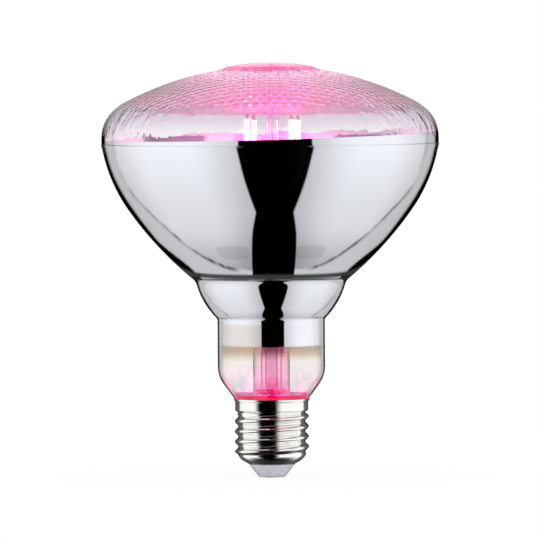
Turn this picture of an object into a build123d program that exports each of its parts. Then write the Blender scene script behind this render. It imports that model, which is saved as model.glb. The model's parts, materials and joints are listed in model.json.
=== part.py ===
from build123d import *
from math import cos, pi, radians, sin
import os

# Reflector grow lamp with a screw cap, in millimetres.
# The axis is Z, heights start at the tip of the centre contact, and the face looks up.

# Screw cap, 27 mm size, rolled from sheet
sheet = 0.3
thread_pitch = 3.629
thread_crest = 13.2
thread_root = 11.95
thread_steps = 10
cap_bottom = 4.8
cap_hole = 7.2
cap_floor = 7.9
cap_knee_radius = 10.5
cap_knee_rise = 1.8
cap_knee_bend = 2.5
cap_shoulder_radius = 11.3
cap_shoulder_rise = 1.6
cap_shoulder_lap = 0.86
runout_rise = 2.0
thread_length = 13.8
collar_radius = 13.0
collar_length = 3.0
collar_slope = 0.8
lip_radius = 13.6
lip_rise = 1.0

cap_knee_height = cap_bottom + cap_knee_rise
cap_shoulder_height = cap_knee_height + cap_shoulder_rise
thread_start = cap_shoulder_height - cap_shoulder_lap
runout_height = cap_shoulder_height + runout_rise
collar_bottom = runout_height + thread_length
collar_top = collar_bottom + collar_length
lip_top = collar_top + lip_rise

# Blown glass bulb, sizes of the outer face, its tail standing inside the collar
glass_wall = 1.2
tail_radius = 12.2
tail_length = 2.7
cone_rise = 9.4
neck_radius = 19.1
neck_length = 20.4
neck_bend = 10.5
waist_bend = 1.5
heel_radius = 26.8
heel_rise = 13.5
heel_bulge = 1.1
heel_bend = 4.0
bowl_radius = 50.2
bowl_rise = 25.0
bowl_lower_bulge = 1.15
bowl_upper_bulge = 1.5
rim_radius = 60.05
rim_rise = 23.9
shoulder_rise = 9.8
shoulder_bend = 14.0
dome_rise = 17.7
disc_radius = 17.9
disc_slope = 2.9
disc_edge = 0.93
disc_rise = 1.4
disc_bend = 1.2
mould_step = 0.17
mould_band = 2.6

tail_bottom = collar_bottom
cone_bottom = tail_bottom + tail_length
neck_bottom = cone_bottom + cone_rise
waist_height = neck_bottom + neck_length
heel_height = waist_height + heel_rise
bowl_height = heel_height + bowl_rise
rim_height = bowl_height + rim_rise
shoulder_height = rim_height + shoulder_rise
dome_height = shoulder_height + dome_rise
disc_height = dome_height + disc_rise

# Aluminium mirror on the inside of the bowl, heel and neck
film_thickness = 0.2
film_clearance = 0.05
film_reach = 10.5
film_overlap = 2.9
film_tilt = 1.25
film_pitch = 0.5

film_bottom = waist_height - film_reach
film_top = rim_height + film_overlap

# Insulator and centre contact at the foot of the cap
fit_clearance = 0.1
insulator_foot = 4.8
insulator_rim = 8.05
insulator_rim_drop = 0.3
insulator_rise = 3.1
contact_radius = 4.5
contact_thickness = 0.35
contact_dome = 0.15
contact_pin_radius = 0.9
contact_pin_rise = 1.1

insulator_top = cap_bottom + insulator_rise
contact_pin_top = insulator_top + contact_pin_rise

# Cement between the glass tail and the collar
cement_clearance = 0.03
cement_foot = 0.6
cement_length = 2.2

cement_bottom = tail_bottom + cement_foot
cement_top = cement_bottom + cement_length

# Glass stem: flare, tube and pinch
seal_clearance = 0.05
flare_rise = 5.8
flare_bend = 2.0
stem_radius = 6.5
stem_wall = 1.0
tube_length = 20.2
pinch_taper = 7.0
pinch_length = 9.0
pinch_width = 13.6
pinch_thickness = 6.0
pinch_round = 2.0
bore_taper = 2.5
bore_draw = 5.5
bore_width = 9.4
bore_thickness = 5.0

flare_height = tail_bottom + flare_rise
tube_top = flare_height + tube_length
pinch_bottom = tube_top + pinch_taper
pinch_top = pinch_bottom + pinch_length
bore_straight_top = tube_top - bore_taper
bore_top = bore_straight_top + bore_draw

# Exhaust tube, drawn to a sealed tip
exhaust_radius = 2.2
exhaust_wall = 0.6
exhaust_reach = 1.4
exhaust_tip = 2.5

exhaust_bottom = tail_bottom - exhaust_reach

# Filaments, standing round the rod
filament_ring = 11.3
filament_angle = 36.6
full_turn = 360
strip_stand = 13.0
strip_length = 52.0
strip_width = 0.9
strip_thickness = 0.35
strip_hole = 0.4
coat_foot = 2.5
coat_head = 2.4
coat_width = 1.9
coat_thickness = 1.5
coat_round = 0.6
coat_clearance = 0.03

strip_bottom = pinch_top + strip_stand
strip_top = strip_bottom + strip_length
coat_length = strip_length - coat_foot - coat_head

# Support rod on the pinch, with its button
mount_lean = 0.9
rod_radius = 2.0
rod_foot = 2.3
rod_foot_rise = 1.2
button_radius = 3.0
button_rise = 1.4

button_height = strip_top + button_rise

# Wires
wire_radius = 0.3
wire_clearance = 0.04
wire_bend = 1.2
weld_length = 1.6
weld_overrun = 0.4
top_wire_rise = 0.3
top_wire_inset = 1.4
bottom_wire_depth = 2.8
bottom_wire_reach = 3.6
bottom_wire_entry = 0.6
lead_spacing = 3.5
lead_splay_foot = 0.5
lead_splay_drop = 0.3
lead_rise = 1.5
lead_board_spacing = 6.2
lead_weld = 1.8

top_wire_height = button_height + top_wire_rise
bottom_wire_height = pinch_top - bottom_wire_depth
lead_splay_bottom = tail_bottom + lead_splay_foot
lead_splay_top = flare_height - lead_splay_drop

# Driver board and its components
board_front = 3.0
board_thickness = 1.0
board_width = 18.0
board_foot = 0.4
board_length = 13.0
capacitor_radius = 3.5
capacitor_foot = 1.8
capacitor_length = 8.8
capacitor_side = -4.6
capacitor_bead = 0.3
capacitor_bead_rise = 1.3
capacitor_lead_spacing = 2.0
component_clearance = 0.04
component_lead = 0.25
component_lead_bend = 0.5
component_lead_reach = 0.8
resistor_radius = 1.3
resistor_waist = 1.05
resistor_foot = 3.0
resistor_length = 5.4
resistor_side = 4.4
resistor_overhang = 1.0
resistor_taper = 0.5
rectifier_width = 3.9
rectifier_length = 4.7
rectifier_thickness = 2.3
rectifier_legs = 2
rectifier_leg_pitch = 2.54
rectifier_side = -3.6
rectifier_rise = 7.0
chip_width = 3.9
chip_length = 4.9
chip_thickness = 1.5
chip_legs = 4
chip_leg_pitch = 1.27
chip_side = 3.8
chip_rise = 6.2
leg_length = 0.9
leg_width = 0.42
leg_thickness = 0.2
jumper_radius = 0.25
jumper_bend = 0.8
contact_wire_side = 1.2
contact_wire_rise = 1.1
contact_wire_climb = 1.8
contact_wire_weld = 2.0
shell_wire_side = 8.0
shell_wire_foot = 3.6
shell_wire_length = 6.5
shell_wire_climb = 2.0
shell_wire_weld = 1.9
shell_wire_gap = 0.15

board_bottom = contact_pin_top + board_foot
board_top = board_bottom + board_length
board_back = board_front + board_thickness
lead_bottom = board_top - lead_weld
capacitor_bottom = board_bottom + capacitor_foot
resistor_bottom = board_bottom + resistor_foot
rectifier_centre = board_bottom + rectifier_rise
chip_centre = board_bottom + chip_rise
shell_wire_bottom = board_bottom + shell_wire_foot
shell_wire_splay = shell_wire_bottom + shell_wire_length

filament_turns = [filament_angle + full_turn / 4 * quarter for quarter in range(4)]
back_right, back_left, front_left, front_right = filament_turns
weld_ring = filament_ring - strip_thickness / 2 - wire_radius - wire_clearance
mount = Plane.XY.offset(pinch_top + seal_clearance).rotated((0, mount_lean, 0))

os.makedirs("parts", exist_ok=True)


def corners_at(section, radius, height):
    """The two corners of a symmetric section at this radius and height."""
    spots = [(radius, height), (-radius, height)]
    return [section.vertices().sort_by_distance(spot)[0] for spot in spots]


def dome_at(radius):
    """Height of the face's dome at this radius."""
    sphere = (rim_radius**2 + dome_rise**2) / (2 * dome_rise)
    return dome_height - sphere + (sphere**2 - radius**2) ** 0.5


def bulb_section(inset):
    """Half section of the bulb, drawn in by inset from the outer face, with the tail open."""
    with BuildSketch(Plane.XZ) as section:
        with BuildLine():
            Polyline(
                (0, tail_bottom - 2 * inset),
                (tail_radius, tail_bottom - 2 * inset),
                (tail_radius, cone_bottom),
                (neck_radius, neck_bottom),
                (neck_radius, waist_height),
            )
            SagittaArc((neck_radius, waist_height), (heel_radius, heel_height), -heel_bulge)
            SagittaArc((heel_radius, heel_height), (bowl_radius, bowl_height), -bowl_lower_bulge)
            SagittaArc((bowl_radius, bowl_height), (rim_radius, rim_height), -bowl_upper_bulge)
            Line((rim_radius, rim_height), (rim_radius, shoulder_height))
            mirror(about=Plane.YZ)
            ThreePointArc(
                (-rim_radius, shoulder_height), (0, dome_height), (rim_radius, shoulder_height)
            )
        make_face()
        fillet(corners_at(section, neck_radius, neck_bottom), neck_bend)
        fillet(corners_at(section, neck_radius, waist_height), waist_bend)
        fillet(corners_at(section, heel_radius, heel_height), heel_bend)
        fillet(corners_at(section, rim_radius, shoulder_height), shoulder_bend)
        if inset:
            offset(amount=-inset)
        split(bisect_by=Plane.YZ)
    return section.sketch


def cap_section(inset):
    """Half section of the cap without its thread, drawn in by inset, with the top open."""
    flare = (lip_radius - collar_radius) / (lip_top - collar_top)
    open_top = lip_top + 2 * inset
    with BuildSketch(Plane.XZ) as section:
        with BuildLine():
            Polyline(
                (0, cap_bottom),
                (cap_floor, cap_bottom),
                (cap_knee_radius, cap_knee_height),
                (cap_shoulder_radius, cap_shoulder_height),
                (thread_root, runout_height),
                (thread_root, collar_bottom - collar_slope),
                (collar_radius, collar_bottom),
                (collar_radius, collar_top),
                (collar_radius + flare * (open_top - collar_top), open_top),
                (0, open_top),
            )
            mirror(about=Plane.YZ)
        make_face()
        fillet(corners_at(section, cap_knee_radius, cap_knee_height), cap_knee_bend)
        if inset:
            offset(amount=-inset)
        split(bisect_by=Plane.YZ)
    return section.sketch


def runout_section(inset):
    """Half section that tapers the first turn of the thread into the cap's shoulder."""
    with BuildSketch(Plane.XZ) as section:
        with BuildLine():
            Polyline(
                (0, thread_start),
                (cap_shoulder_radius - sheet, thread_start),
                (thread_crest + sheet, runout_height),
                (thread_crest + sheet, collar_bottom),
                (0, collar_bottom),
            )
            mirror(about=Plane.YZ)
        make_face()
        if inset:
            offset(amount=-inset)
        split(bisect_by=Plane.YZ)
    return section.sketch


def cap_form(inset):
    """The cap as a solid form, drawn in by inset.

    The rolled thread is a circle set off the axis by half the thread's depth. Its centre
    goes round the axis once for each pitch that it rises, so one crest climbs to the right.
    """
    mean_radius = (thread_crest + thread_root) / 2 - inset
    off_axis = (thread_crest - thread_root) / 2
    length = collar_bottom - thread_start
    steps = round(length / thread_pitch * thread_steps)
    with BuildPart() as form:
        for step in range(steps + 1):
            height = thread_start + length * step / steps
            turn = 2 * pi * (height - thread_start) / thread_pitch
            with BuildSketch(Plane((off_axis * cos(turn), off_axis * sin(turn), height))):
                Circle(mean_radius)
        loft(ruled=True)
        revolve(runout_section(inset).faces(), axis=Axis.Z, mode=Mode.INTERSECT)
        revolve(cap_section(inset).faces(), axis=Axis.Z)
    return form.part


def wire_solid(points, bends, radius):
    """A round wire along straight runs joined by bends."""
    with BuildPart() as wire:
        with BuildLine() as path:
            FilletPolyline(*points, radius=bends)
        with BuildSketch(Plane(origin=path.line @ 0, z_dir=path.line % 0)):
            Circle(radius)
        sweep(path=path.line)
    return wire.part


# Bulb: one blown piece from the domed face to the tail inside the cap
with BuildPart() as glass_bulb:
    with BuildSketch(Plane.XZ) as outside:
        add(bulb_section(0))
        # Raised disc in the middle of the face, with a sloping edge
        disc_brink = disc_radius - disc_slope
        disc_top = dome_at(disc_brink) + disc_edge
        steepness = (disc_top - dome_at(disc_radius)) / disc_slope
        disc_root = disc_radius + glass_wall / 2
        root_height = dome_at(disc_radius) - steepness * glass_wall / 2
        with BuildLine():
            Polyline((0, root_height), (disc_root, root_height), (disc_brink, disc_top))
            mirror(about=Plane.YZ)
            ThreePointArc((-disc_brink, disc_top), (0, disc_height), (disc_brink, disc_top))
        make_face()
        # Step where the bowl's mould met the face's mould
        with BuildLine():
            Polyline(
                (rim_radius - glass_wall / 2, rim_height - mould_band),
                (rim_radius + mould_step, rim_height),
                (rim_radius - glass_wall / 2, rim_height),
                close=True,
            )
        make_face()
        split(bisect_by=Plane.YZ)
        fillet(outside.vertices().sort_by_distance((disc_brink, disc_top))[0], disc_bend)
    revolve(axis=Axis.Z)
    revolve(bulb_section(glass_wall).faces(), axis=Axis.Z, mode=Mode.SUBTRACT)
glass_bulb.part.label = "glass_bulb"
export_step(glass_bulb.part, "parts/glass_bulb.step")

# Mirror film, ending at a level in the neck and along a slightly tilted edge below the face
film_edge = Plane.XY.offset(film_top).rotated((film_pitch, -film_tilt, 0))
film_outside = glass_wall + film_clearance
with BuildPart() as mirror_film:
    revolve(bulb_section(film_outside).faces(), axis=Axis.Z)
    revolve(
        bulb_section(film_outside + film_thickness).faces(), axis=Axis.Z, mode=Mode.SUBTRACT
    )
    split(bisect_by=Plane.XY.offset(film_bottom), keep=Keep.TOP)
    split(bisect_by=film_edge, keep=Keep.BOTTOM)
mirror_film.part.label = "mirror_film"
export_step(mirror_film.part, "parts/mirror_film.step")

# Cap shell, one rolled sheet with its thread, turned in at the foot and flared at the lip
with BuildPart() as cap_shell:
    add(cap_form(0))
    add(cap_form(sheet), mode=Mode.SUBTRACT)
    with BuildSketch(Plane.XY):
        Circle(cap_hole)
    extrude(amount=cap_shoulder_height, mode=Mode.SUBTRACT)
cap_shell.part.label = "cap_shell"
export_step(cap_shell.part, "parts/cap_shell.step")

# Insulator, moulded through the hole in the cap's foot and spread inside it
with BuildPart() as insulator:
    revolve(cap_section(sheet + fit_clearance).faces(), axis=Axis.Z)
    with BuildSketch(Plane.XY):
        Circle(cap_shoulder_radius)
    extrude(amount=insulator_top, mode=Mode.INTERSECT)
    with BuildSketch(Plane.XZ):
        with BuildLine():
            Polyline(
                (0, contact_thickness),
                (insulator_foot, contact_thickness),
                (insulator_rim, cap_bottom - insulator_rim_drop),
                (insulator_rim, cap_bottom - fit_clearance),
                (cap_hole - fit_clearance, cap_bottom - fit_clearance),
                (cap_hole - fit_clearance, insulator_top),
                (0, insulator_top),
                close=True,
            )
        make_face()
    revolve(axis=Axis.Z)
    with BuildSketch(Plane.XY):
        Circle(contact_pin_radius + fit_clearance)
    extrude(amount=insulator_top, mode=Mode.SUBTRACT)
insulator.part.label = "insulator"
export_step(insulator.part, "parts/insulator.step")

# Centre contact, a domed head on a pin through the insulator
with BuildPart() as centre_contact:
    with BuildSketch(Plane.XZ) as head:
        with BuildLine():
            Polyline(
                (0, contact_thickness),
                (contact_radius, contact_thickness),
                (contact_radius, contact_dome),
            )
            mirror(about=Plane.YZ)
            ThreePointArc((-contact_radius, contact_dome), (0, 0), (contact_radius, contact_dome))
        make_face()
        split(bisect_by=Plane.YZ)
    revolve(axis=Axis.Z)
    with BuildSketch(Plane.XY.offset(contact_thickness)):
        Circle(contact_pin_radius)
    extrude(amount=contact_pin_top - contact_thickness)
centre_contact.part.label = "centre_contact"
export_step(centre_contact.part, "parts/centre_contact.step")

# Cement ring between the glass tail and the cap's collar
with BuildPart() as capping_cement:
    revolve(cap_section(sheet + cement_clearance).faces(), axis=Axis.Z)
    split(bisect_by=Plane.XY.offset(cement_bottom), keep=Keep.TOP)
    split(bisect_by=Plane.XY.offset(cement_top), keep=Keep.BOTTOM)
    revolve(bulb_section(-cement_clearance).faces(), axis=Axis.Z, mode=Mode.SUBTRACT)
capping_cement.part.label = "capping_cement"
export_step(capping_cement.part, "parts/capping_cement.step")


def on_mount(radius, turn, height):
    """A point round the leaning rod, given by the height that it has when upright."""
    across = radius * cos(radians(turn))
    along = radius * sin(radians(turn))
    return mount.from_local_coords((across, along, height - pinch_top))


def lead_points(side, turn):
    """Route of a lead wire from the board, up the stem and through the pinch to a filament."""
    board_line = board_front - component_clearance - wire_radius
    return [
        (side * lead_board_spacing, board_line, lead_bottom),
        (side * lead_board_spacing, board_line, lead_splay_bottom),
        (side * lead_spacing, 0, lead_splay_top),
        (side * lead_spacing, 0, pinch_top + lead_rise),
        on_mount(weld_ring, turn, strip_bottom - weld_overrun),
        on_mount(weld_ring, turn, strip_bottom + weld_length),
    ]


def bottom_wire_points(turn, far_turn):
    """Route of the wire that joins two opposite filaments through the pinch."""
    across = bottom_wire_reach * cos(radians(turn))
    along = bottom_wire_reach * sin(radians(turn))
    return [
        on_mount(weld_ring, turn, strip_bottom + weld_length),
        on_mount(weld_ring, turn, strip_bottom - weld_overrun),
        (across, along, pinch_top + bottom_wire_entry),
        (0, 0, bottom_wire_height),
        (-across, -along, pinch_top + bottom_wire_entry),
        on_mount(weld_ring, far_turn, strip_bottom - weld_overrun),
        on_mount(weld_ring, far_turn, strip_bottom + weld_length),
    ]


def top_wire_points(turn, far_turn):
    """Route of the wire that joins two neighbouring filaments through the rod's button."""
    return [
        on_mount(weld_ring, turn, strip_top - weld_length),
        on_mount(weld_ring, turn, strip_top + weld_overrun),
        on_mount(top_wire_inset, (turn + far_turn) / 2, top_wire_height),
        on_mount(weld_ring, far_turn, strip_top + weld_overrun),
        on_mount(weld_ring, far_turn, strip_top - weld_length),
    ]


lead_routes = {
    "left": lead_points(-1, front_left),
    "right": lead_points(1, back_right),
}
top_routes = {
    "left": top_wire_points(back_left, front_left),
    "right": top_wire_points(front_right - full_turn, back_right),
}
bottom_route = bottom_wire_points(front_right, back_left)

# Stem: a flare sealed into the tail, a tube, and a flat pinch round the wires
with BuildPart() as flare_hollow:
    revolve(bulb_section(glass_wall + seal_clearance + stem_wall).faces(), axis=Axis.Z)
    split(bisect_by=Plane.XY.offset(flare_height - stem_wall), keep=Keep.BOTTOM)

with BuildPart() as stem_flare:
    revolve(bulb_section(glass_wall + seal_clearance).faces(), axis=Axis.Z)
    split(bisect_by=Plane.XY.offset(tail_bottom), keep=Keep.TOP)
    split(bisect_by=Plane.XY.offset(flare_height), keep=Keep.BOTTOM)
    with BuildSketch(Plane.XY.offset(flare_height)):
        Circle(stem_radius)
    extrude(amount=tube_length)
    fillet(
        stem_flare.edges().filter_by(GeomType.CIRCLE).group_by(Axis.Z)[-2].sort_by(
            SortBy.RADIUS
        )[0],
        flare_bend,
    )
    with BuildSketch(Plane.XY.offset(tube_top)):
        Circle(stem_radius)
    with BuildSketch(Plane.XY.offset(pinch_bottom)):
        RectangleRounded(pinch_width, pinch_thickness, pinch_round)
    loft()
    with BuildSketch(Plane.XY.offset(pinch_bottom)):
        RectangleRounded(pinch_width, pinch_thickness, pinch_round)
    extrude(amount=pinch_length)
    add(flare_hollow.part, mode=Mode.SUBTRACT)
    with BuildSketch(Plane.XY.offset(tail_bottom)):
        Circle(stem_radius - stem_wall)
    extrude(amount=bore_straight_top - tail_bottom, mode=Mode.SUBTRACT)
    with BuildSketch(Plane.XY.offset(bore_straight_top)):
        Circle(stem_radius - stem_wall)
    with BuildSketch(Plane.XY.offset(bore_top)):
        RectangleRounded(bore_width, bore_thickness, pinch_round)
    loft(mode=Mode.SUBTRACT)
    for route in [*lead_routes.values(), bottom_route]:
        add(wire_solid(route, wire_bend, wire_radius + wire_clearance), mode=Mode.SUBTRACT)
stem_flare.part.label = "stem_flare"
export_step(stem_flare.part, "parts/stem_flare.step")

# Exhaust tube, open at the pinch and drawn to a closed tip inside the cap
with BuildPart() as exhaust_tube:
    with BuildSketch(Plane.XZ) as tube_section:
        with BuildLine():
            Polyline(
                (0, exhaust_bottom),
                (exhaust_radius / 2, exhaust_bottom),
                (exhaust_radius, exhaust_bottom + exhaust_tip),
                (exhaust_radius, bore_top),
                (exhaust_radius - exhaust_wall, bore_top),
                (exhaust_radius - exhaust_wall, exhaust_bottom + exhaust_tip),
                (0, exhaust_bottom + exhaust_tip),
                close=True,
            )
        make_face()
    revolve(axis=Axis.Z)
exhaust_tube.part.label = "exhaust_tube"
export_step(exhaust_tube.part, "parts/exhaust_tube.step")

# Support rod with its button, pierced by the two top wires
with BuildPart() as support_rod:
    with BuildSketch(mount):
        Circle(rod_radius)
    extrude(amount=button_height - pinch_top)
    with BuildSketch(mount):
        Circle(rod_foot)
    with BuildSketch(mount.offset(rod_foot_rise)):
        Circle(rod_radius)
    loft()
    with Locations(mount.offset(button_height - pinch_top)):
        Sphere(button_radius)
    for route in top_routes.values():
        add(wire_solid(route, wire_bend, wire_radius + wire_clearance), mode=Mode.SUBTRACT)
support_rod.part.label = "support_rod"
export_step(support_rod.part, "parts/support_rod.step")

# Filaments: a thin carrier strip with a hole at each end, in a coat of moulded phosphor
for number, turn in enumerate(filament_turns, start=1):
    foot = on_mount(filament_ring, turn, strip_bottom)
    outward = on_mount(filament_ring + 1, turn, strip_bottom) - foot
    stand = Plane(foot, x_dir=outward, z_dir=mount.z_dir)
    with BuildPart() as strip:
        with BuildSketch(Plane(foot, x_dir=stand.y_dir, z_dir=stand.x_dir)):
            with Locations((0, strip_length / 2)):
                Rectangle(strip_width, strip_length)
            with Locations((0, strip_hole), (0, strip_length - strip_hole)):
                Circle(strip_hole / 2, mode=Mode.SUBTRACT)
        extrude(amount=strip_thickness / 2, both=True)
    strip.part.label = f"filament_strip_{number}"
    export_step(strip.part, f"parts/filament_strip_{number}.step")

    with BuildPart() as coat:
        with BuildSketch(stand.offset(coat_foot)):
            RectangleRounded(coat_thickness, coat_width, coat_round)
            Rectangle(
                strip_thickness + 2 * coat_clearance,
                strip_width + 2 * coat_clearance,
                mode=Mode.SUBTRACT,
            )
        extrude(amount=coat_length)
    coat.part.label = f"filament_{number}"
    export_step(coat.part, f"parts/filament_{number}.step")

# Wires of the mount
for side in ("left", "right"):
    with BuildPart() as lead_wire:
        add(wire_solid(lead_routes[side], wire_bend, wire_radius))
    lead_wire.part.label = f"lead_wire_{side}"
    export_step(lead_wire.part, f"parts/lead_wire_{side}.step")

    with BuildPart() as top_wire:
        add(wire_solid(top_routes[side], wire_bend, wire_radius))
    top_wire.part.label = f"top_wire_{side}"
    export_step(top_wire.part, f"parts/top_wire_{side}.step")

with BuildPart() as bottom_wire:
    add(wire_solid(bottom_route, wire_bend, wire_radius))
bottom_wire.part.label = "bottom_wire"
export_step(bottom_wire.part, "parts/bottom_wire.step")

# Driver board, standing behind the exhaust tube
with BuildPart() as driver_board:
    with BuildSketch(Plane.XY.offset(board_bottom)):
        with Locations((0, board_front + board_thickness / 2)):
            Rectangle(board_width, board_thickness)
    extrude(amount=board_length)
driver_board.part.label = "driver_board"
export_step(driver_board.part, "parts/driver_board.step")

# Electrolytic capacitor with a beaded can, its leads bent back to the board
board_seat = board_front - component_clearance
capacitor_line = board_seat - capacitor_radius
with BuildPart() as capacitor:
    can_foot = (capacitor_side, capacitor_line, capacitor_bottom)
    can_axis = Plane(can_foot, x_dir=(1, 0, 0), z_dir=(0, -1, 0))
    with BuildSketch(can_axis):
        with BuildLine():
            Polyline(
                (0, 0),
                (capacitor_radius, 0),
                (capacitor_radius, capacitor_bead_rise),
                (capacitor_radius - capacitor_bead, capacitor_bead_rise + capacitor_bead),
                (capacitor_radius, capacitor_bead_rise + 2 * capacitor_bead),
                (capacitor_radius, capacitor_length),
                (0, capacitor_length),
                close=True,
            )
        make_face()
    revolve(axis=Axis(can_axis.origin, (0, 0, 1)))
    for side in (-1, 1):
        lead_line = capacitor_side + side * capacitor_lead_spacing / 2
        add(
            wire_solid(
                [
                    (lead_line, capacitor_line, capacitor_bottom + component_lead),
                    (lead_line, capacitor_line, capacitor_bottom - component_lead_reach),
                    (lead_line, board_seat, capacitor_bottom - component_lead_reach),
                ],
                component_lead_bend,
                component_lead,
            )
        )
capacitor.part.label = "capacitor"
export_step(capacitor.part, "parts/capacitor.step")

# Fusible resistor, waisted between its end caps
resistor_line = board_seat - resistor_radius
with BuildPart() as fusible_resistor:
    body_foot = (resistor_side, resistor_line, resistor_bottom)
    body_axis = Plane(body_foot, x_dir=(1, 0, 0), z_dir=(0, -1, 0))
    with BuildSketch(body_axis):
        with BuildLine():
            Polyline(
                (0, 0),
                (resistor_radius, 0),
                (resistor_radius, resistor_overhang),
                (resistor_waist, resistor_overhang + resistor_taper),
                (resistor_waist, resistor_length - resistor_overhang - resistor_taper),
                (resistor_radius, resistor_length - resistor_overhang),
                (resistor_radius, resistor_length),
                (0, resistor_length),
                close=True,
            )
        make_face()
    revolve(axis=Axis(body_axis.origin, (0, 0, 1)))
    resistor_top = resistor_bottom + resistor_length
    for end, outward in ((resistor_bottom, -1), (resistor_top, 1)):
        add(
            wire_solid(
                [
                    (resistor_side, resistor_line, end - outward * component_lead),
                    (resistor_side, resistor_line, end + outward * component_lead_reach),
                    (resistor_side, board_seat, end + outward * component_lead_reach),
                ],
                component_lead_bend,
                component_lead,
            )
        )
fusible_resistor.part.label = "fusible_resistor"
export_step(fusible_resistor.part, "parts/fusible_resistor.step")


def chip_on_board(width, height, thickness, side, centre, legs, leg_pitch):
    """A moulded chip on the back of the board, with a row of bent legs on each side."""
    seat = board_back + component_clearance
    with BuildPart() as chip:
        with BuildSketch(Plane.XY.offset(centre - height / 2)):
            with Locations((side, seat + leg_thickness + thickness / 2)):
                Rectangle(width, thickness)
        extrude(amount=height)
        chamfer(chip.faces().sort_by(Axis.Y)[-1].edges(), leg_thickness)
        for leg in range(legs):
            leg_height = centre + (leg - (legs - 1) / 2) * leg_pitch
            with BuildSketch(Plane.XY.offset(leg_height - leg_width / 2)):
                for hand in (-1, 1):
                    with BuildLine() as bent_leg:
                        Polyline(
                            (side + hand * (width / 2 - leg_thickness), seat + thickness / 2),
                            (side + hand * (width / 2 + leg_length / 2), seat + thickness / 2),
                            (side + hand * (width / 2 + leg_length / 2), seat + leg_thickness / 2),
                            (side + hand * (width / 2 + leg_length), seat + leg_thickness / 2),
                        )
                    trace(bent_leg.line, line_width=leg_thickness)
            extrude(amount=leg_width)
    return chip.part


with BuildPart() as bridge_rectifier:
    add(
        chip_on_board(
            rectifier_width,
            rectifier_length,
            rectifier_thickness,
            rectifier_side,
            rectifier_centre,
            rectifier_legs,
            rectifier_leg_pitch,
        )
    )
bridge_rectifier.part.label = "bridge_rectifier"
export_step(bridge_rectifier.part, "parts/bridge_rectifier.step")

with BuildPart() as driver_chip:
    add(
        chip_on_board(
            chip_width,
            chip_length,
            chip_thickness,
            chip_side,
            chip_centre,
            chip_legs,
            chip_leg_pitch,
        )
    )
driver_chip.part.label = "driver_chip"
export_step(driver_chip.part, "parts/driver_chip.step")

# Wires from the board to the centre contact and to the cap shell
jumper_line = board_seat - jumper_radius
pin_end = contact_pin_top + component_clearance
contact_wire_top = pin_end + contact_wire_rise + contact_wire_climb
with BuildPart() as contact_wire:
    add(
        wire_solid(
            [
                (0, 0, pin_end),
                (0, 0, pin_end + contact_wire_rise),
                (contact_wire_side, jumper_line, contact_wire_top),
                (contact_wire_side, jumper_line, contact_wire_top + contact_wire_weld),
            ],
            jumper_bend,
            jumper_radius,
        )
    )
contact_wire.part.label = "contact_wire"
export_step(contact_wire.part, "parts/contact_wire.step")

shell_wire_reach = thread_root - sheet - shell_wire_gap - jumper_radius
shell_wire_end = (shell_wire_reach**2 - jumper_line**2) ** 0.5
shell_wire_top = shell_wire_splay + shell_wire_climb
with BuildPart() as shell_wire:
    add(
        wire_solid(
            [
                (shell_wire_side, jumper_line, shell_wire_bottom),
                (shell_wire_side, jumper_line, shell_wire_splay),
                (shell_wire_end, jumper_line, shell_wire_top),
                (shell_wire_end, jumper_line, shell_wire_top + shell_wire_weld),
            ],
            jumper_bend,
            jumper_radius,
        )
    )
shell_wire.part.label = "shell_wire"
export_step(shell_wire.part, "parts/shell_wire.step")
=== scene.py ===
import json
import math

import bpy
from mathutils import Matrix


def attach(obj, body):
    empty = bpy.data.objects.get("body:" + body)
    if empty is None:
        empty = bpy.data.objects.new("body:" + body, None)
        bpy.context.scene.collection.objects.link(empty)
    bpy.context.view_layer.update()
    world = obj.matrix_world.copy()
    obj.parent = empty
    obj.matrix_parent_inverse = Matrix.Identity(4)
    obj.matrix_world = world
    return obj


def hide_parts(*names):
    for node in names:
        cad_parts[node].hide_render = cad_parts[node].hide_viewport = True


# Reflector grow lamp with a screw cap. Sizes are in millimetres and are made metres by MM.
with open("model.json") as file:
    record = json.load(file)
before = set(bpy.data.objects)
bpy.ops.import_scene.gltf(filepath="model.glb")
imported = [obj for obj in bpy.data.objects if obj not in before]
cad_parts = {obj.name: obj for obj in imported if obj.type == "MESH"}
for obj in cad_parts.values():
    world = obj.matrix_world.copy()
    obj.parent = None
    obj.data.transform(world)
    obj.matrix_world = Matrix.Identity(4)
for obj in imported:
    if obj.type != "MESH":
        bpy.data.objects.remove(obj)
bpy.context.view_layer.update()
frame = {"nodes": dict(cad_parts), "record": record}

MM = 0.001
FULL_TURN = 2 * math.pi

# Blown glass bulb, outer face
glass_wall = 1.2
tail_radius = 12.2
tail_bottom = 24.0
tail_bend = 0.4
cone_bottom = 26.7
neck_radius = 19.1
neck_bottom = 36.1
neck_bend = 10.5
waist_height = 56.5
waist_bend = 1.5
heel_radius = 26.8
heel_height = 70.0
heel_bulge = 1.1
heel_bend = 4.0
bowl_radius = 50.2
bowl_height = 95.0
bowl_bend = 60.0
bowl_lower_bulge = 1.15
bowl_upper_bulge = 1.5
rim_radius = 60.05
rim_height = 118.9
rim_bend = 7.0
shoulder_height = 128.7
shoulder_bend = 14.0
dome_height = 146.4
disc_radius = 17.9
disc_slope = 2.9
disc_edge = 0.93
disc_bend = 1.2
disc_foot_bend = 0.4
disc_height = 147.8

# Step below the rim, where the moulds of the bowl and of the face meet
mould_step = 0.17
mould_band = 2.6
mould_support_band = 0.3
mould_support = 0.08
mould_ledge = 0.03
mould_depth = 4.0

# Stippling of the face: small lenses in a hexagonal pattern
lens_pitch = 3.4
lens_height = 0.3
lens_field = 53.0
lens_fade = 1.2
lens_to_disc = 0.2

# Mirror film on the inside of the bulb
film_gap = 0.05
film_thickness = 0.12
film_bottom = 43.3
film_margin = 3.0
film_solid_bottom = 47.4
film_top = 121.8
film_tilt = 1.25
film_pitch = 0.5
film_fringe = 2.2

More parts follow.
